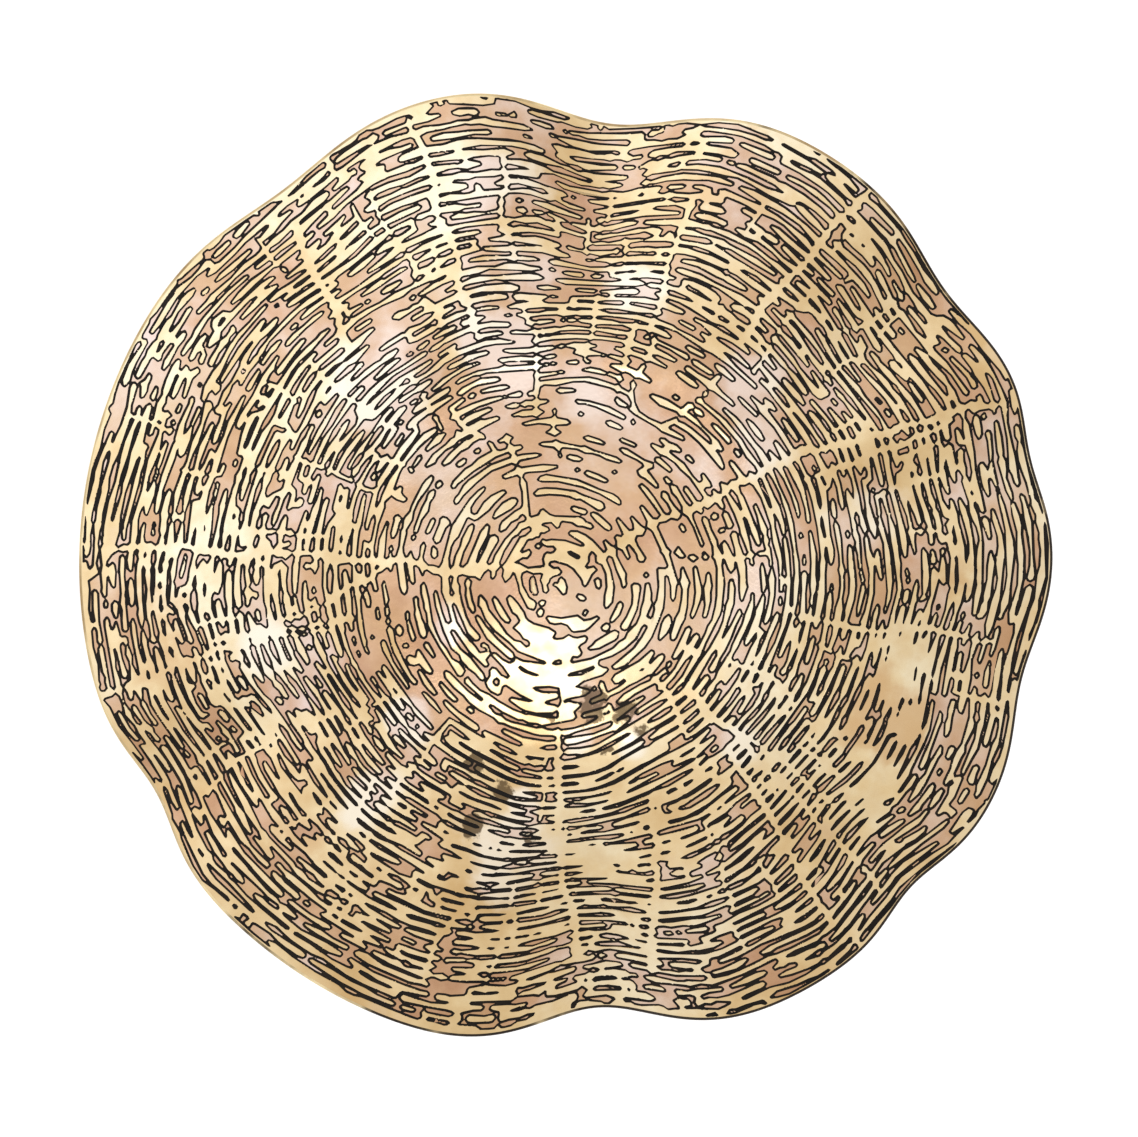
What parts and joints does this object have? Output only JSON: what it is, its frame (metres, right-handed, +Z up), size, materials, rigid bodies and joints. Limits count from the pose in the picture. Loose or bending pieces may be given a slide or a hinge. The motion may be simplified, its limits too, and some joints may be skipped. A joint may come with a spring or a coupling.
{
  "type": "brass tray",
  "caption": "Round dished brass tray with a wavy, fluted rim and an etched growth-ring pattern, standing on felt pads.",
  "frame": {"origin": "on the table, under the middle of the tray's outline seen from above", "axes": "+Z up through the tray's open side; +X and +Y level, with the deepest pair of flutes near +Y and -Y"},
  "size_m": [0.4006, 0.3876, 0.0576],
  "materials": {
    "brass_sheet": "polished with etched pattern",
    "felt_pad": "matte felt"
  },
  "bodies": {
    "root": {"tray_sheet": "brass_sheet", "foot_pad_1": "felt_pad", "foot_pad_2": "felt_pad", "foot_pad_3": "felt_pad", "foot_pad_4": "felt_pad"}
  },
  "joints": []
}
